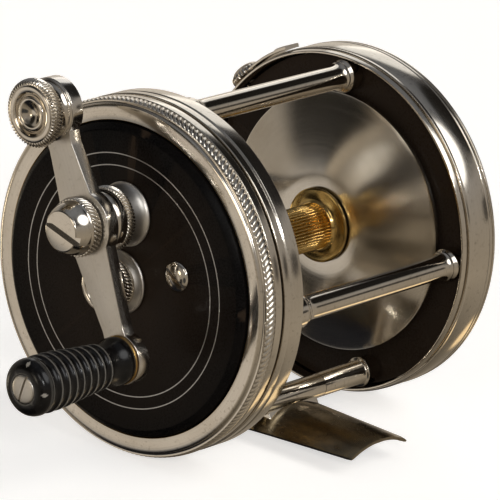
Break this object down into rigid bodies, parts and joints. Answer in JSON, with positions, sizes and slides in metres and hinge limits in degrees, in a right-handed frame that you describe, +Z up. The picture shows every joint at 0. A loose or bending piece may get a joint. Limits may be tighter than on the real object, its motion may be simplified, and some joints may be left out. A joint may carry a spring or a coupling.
{
  "type": "multiplying fishing reel",
  "caption": "Multiplying bait-casting reel with a free-turning spool between two ringed plates, a geared crank with a counterweight, a click and an arched foot.",
  "frame": {"origin": "middle of the flat strip along the crest of the foot's underside, where the reel sits on the rod", "axes": "+X along the spool's axis to the crank's side, +Y along the foot to the rod's tip, +Z up from the rod to the spool"},
  "size_m": [0.0848, 0.0546, 0.0558],
  "materials": {
    "nickel_silver": "polished nickel silver, lathe-turned, lightly tarnished",
    "hard_rubber": "polished black hard rubber",
    "brass": "bright turned brass",
    "steel": "machined steel"
  },
  "bodies": {
    "frame": {"bridge_post_front": "nickel_silver", "bridge_post_rear": "nickel_silver", "bridge_screw_front": "nickel_silver", "bridge_screw_rear": "nickel_silver", "click_spring": "steel", "crank_post": "nickel_silver", "foot": "nickel_silver", "foot_saddle_front": "nickel_silver", "foot_saddle_rear": "nickel_silver", "gear_bridge": "nickel_silver", "head_bushing": "nickel_silver", "head_frame_ring": "nickel_silver", "head_plate": "hard_rubber", "head_ring_screw_1": "nickel_silver", "head_ring_screw_2": "nickel_silver", "head_ring_screw_3": "nickel_silver", "head_ring_screw_4": "nickel_silver", "head_ring_screw_5": "nickel_silver", "inner_head_plate": "nickel_silver", "knurled_screw_ring": "nickel_silver", "pillar_foot_front": "nickel_silver", "pillar_foot_rear": "nickel_silver", "pillar_front": "nickel_silver", "pillar_rear": "nickel_silver", "pillar_top": "nickel_silver", "tail_bushing": "nickel_silver", "tail_plate": "hard_rubber", "tail_ring": "nickel_silver", "tail_screw_1": "nickel_silver", "tail_screw_2": "nickel_silver", "tail_screw_3": "nickel_silver", "tail_screw_4": "nickel_silver", "tail_screw_5": "nickel_silver"},
    "crank": {"crank_shaft": "steel", "main_gear": "brass", "crank_arm": "nickel_silver", "crank_nut": "nickel_silver", "counterweight": "nickel_silver", "grip_spindle": "nickel_silver"},
    "grip": {"handle_grip": "hard_rubber"},
    "spool": {"spool_axle": "steel", "spool_arbor": "brass", "arbor_collar_head": "brass", "arbor_collar_tail": "brass", "spool_flange_head": "nickel_silver", "spool_flange_tail": "nickel_silver", "pinion": "steel", "click_ratchet": "steel"},
    "head_cap": {"spool_cap_head": "nickel_silver"},
    "tail_cap": {"spool_cap_tail": "nickel_silver"},
    "click": {"click_button": "nickel_silver", "click_pawl": "steel"},
    "latch_screw": {"latch_thumb_screw": "nickel_silver"},
    "latch_leaf": {"latch_spring": "nickel_silver"}
  },
  "joints": [
    {"name": "crank_turn", "type": "hinge", "parent": "frame", "child": "crank", "pos_m": [0, 0, 0.03224], "axis": [1, 0, 0], "continuous": true},
    {"name": "spool_spin", "type": "hinge", "parent": "frame", "child": "spool", "pos_m": [0, 0, 0.0221], "axis": [1, 0, 0], "continuous": true},
    {"name": "grip_spin", "type": "hinge", "parent": "crank", "child": "grip", "pos_m": [0, 0.00906, 0.0152], "axis": [1, 0, 0], "continuous": true},
    {"name": "head_cap_turn", "type": "hinge", "parent": "frame", "child": "head_cap", "pos_m": [0, 0, 0.0221], "axis": [1, 0, 0], "range_deg": [-180, 180]},
    {"name": "tail_cap_turn", "type": "hinge", "parent": "frame", "child": "tail_cap", "pos_m": [0, 0, 0.0221], "axis": [1, 0, 0], "range_deg": [-180, 180]},
    {"name": "click_slide", "type": "slide", "parent": "frame", "child": "click", "axis": [0, 1, 0], "range_m": [0, 0.0016]},
    {"name": "latch_screw_turn", "type": "hinge", "parent": "frame", "child": "latch_screw", "pos_m": [-0.02065, 0, 0.0221], "axis": [0, -0.7912, 0.6115], "range_deg": [0, 360]},
    {"name": "latch_leaf_lift", "type": "hinge", "parent": "frame", "child": "latch_leaf", "pos_m": [-0.02065, -0.01886, 0.04057], "axis": [1, 0, 0], "range_deg": [0, 5]}
  ],
  "couplings": [
    {"joint": "spool_spin", "follows": "crank_turn", "ratio": -4}
  ]
}
